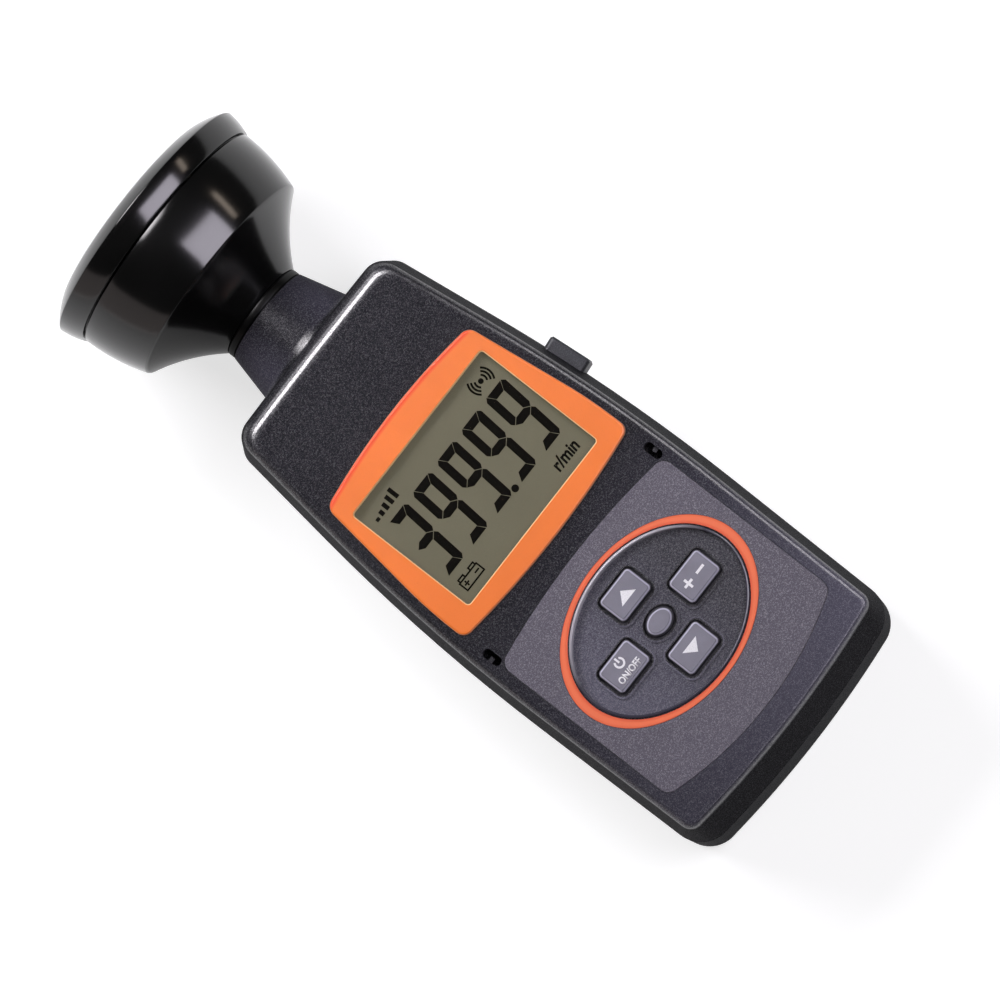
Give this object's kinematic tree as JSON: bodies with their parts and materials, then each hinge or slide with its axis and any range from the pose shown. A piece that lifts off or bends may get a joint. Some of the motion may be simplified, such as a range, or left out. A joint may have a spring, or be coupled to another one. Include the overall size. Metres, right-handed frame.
{
  "type": "handheld stroboscope",
  "caption": "Handheld stroboscope: a tapered housing with a display, an oval keypad, a side button and a sliding battery door, and a flared flash lamp on a conical neck.",
  "frame": {"origin": "on the flat back face, on the centre line, midway between the butt and the lamp end of the housing", "axes": "+Z out of the display, +Y towards the lamp, +X to the right of someone who reads the display"},
  "size_m": [0.0765, 0.2057, 0.0654],
  "materials": {
    "housing": "fine texture, dark grey",
    "bezel": "satin orange",
    "ring_trim": "satin orange",
    "pane": "clear",
    "lcd": "grey-green",
    "holder": "satin white",
    "strip": "soft",
    "panel": "fine texture, mid grey",
    "key": "matt mid grey",
    "mat": "matt",
    "board": "lacquered green",
    "screw": "zinc",
    "capacitor": "sleeved can",
    "ferrite": "matt",
    "winding": "lacquered wire",
    "block": "satin",
    "lead": "insulated",
    "contact": "nickel",
    "cell": "sleeved",
    "lamp_black": "gloss black",
    "lens": "clear",
    "seal": "matt",
    "reflector": "polished",
    "socket": "ceramic white",
    "tube": "clear",
    "button": "satin",
    "plunger": "satin"
  },
  "bodies": {
    "housing": {"front_cover": "housing", "rear_cover": "housing", "case_screws": "screw", "display_bezel": "bezel", "display_window": "pane", "lcd_glass": "lcd", "lcd_holder": "holder", "contact_strips": "strip", "keypad_panel": "panel", "keypad_ring": "ring_trim", "keypad_mat": "mat", "main_board": "board", "main_board_screws": "screw", "power_board": "board", "power_board_screws": "screw", "flash_capacitor": "capacitor", "inverter_transformer": "ferrite", "trigger_coil": "winding", "lead_block": "block", "lamp_leads": "lead", "side_switch": "block", "spring_contacts": "contact", "plate_contacts": "contact", "battery_cell_1": "cell", "battery_cell_2": "cell", "battery_cell_3": "cell", "battery_cell_4": "cell", "lamp_collar": "lamp_black", "lamp_bell": "lamp_black", "front_ring": "lamp_black", "lamp_lens": "lens", "lens_seal": "seal", "reflector": "reflector", "lamp_socket": "socket", "flash_tube": "tube", "tube_caps": "contact"},
    "read_key": {"read_key": "key"},
    "fine_key": {"fine_key": "key"},
    "up_key": {"up_key": "key"},
    "down_key": {"down_key": "key"},
    "centre_key": {"centre_key": "key"},
    "side_button": {"side_button": "button", "switch_plunger": "plunger"},
    "battery_door": {"battery_door": "housing"}
  },
  "joints": [
    {"name": "read_key_press", "type": "slide", "parent": "housing", "child": "read_key", "axis": [0, 0, -1], "range_m": [0, 0.0007], "stiffness_N_per_m": 1200, "springref_m": -0.0003},
    {"name": "fine_key_press", "type": "slide", "parent": "housing", "child": "fine_key", "axis": [0, 0, -1], "range_m": [0, 0.0007], "stiffness_N_per_m": 1200, "springref_m": -0.0003},
    {"name": "up_key_press", "type": "slide", "parent": "housing", "child": "up_key", "axis": [0, 0, -1], "range_m": [0, 0.0007], "stiffness_N_per_m": 1200, "springref_m": -0.0003},
    {"name": "down_key_press", "type": "slide", "parent": "housing", "child": "down_key", "axis": [0, 0, -1], "range_m": [0, 0.0007], "stiffness_N_per_m": 1200, "springref_m": -0.0003},
    {"name": "centre_key_press", "type": "slide", "parent": "housing", "child": "centre_key", "axis": [0, 0, -1], "range_m": [0, 0.0007], "stiffness_N_per_m": 1200, "springref_m": -0.0003},
    {"name": "side_button_press", "type": "slide", "parent": "housing", "child": "side_button", "axis": [-0.996, -0.089, 0], "range_m": [0, 0.001], "stiffness_N_per_m": 1500, "springref_m": -0.0004},
    {"name": "battery_door_slide", "type": "slide", "parent": "housing", "child": "battery_door", "axis": [0, -1, 0], "range_m": [0, 0.06]}
  ]
}
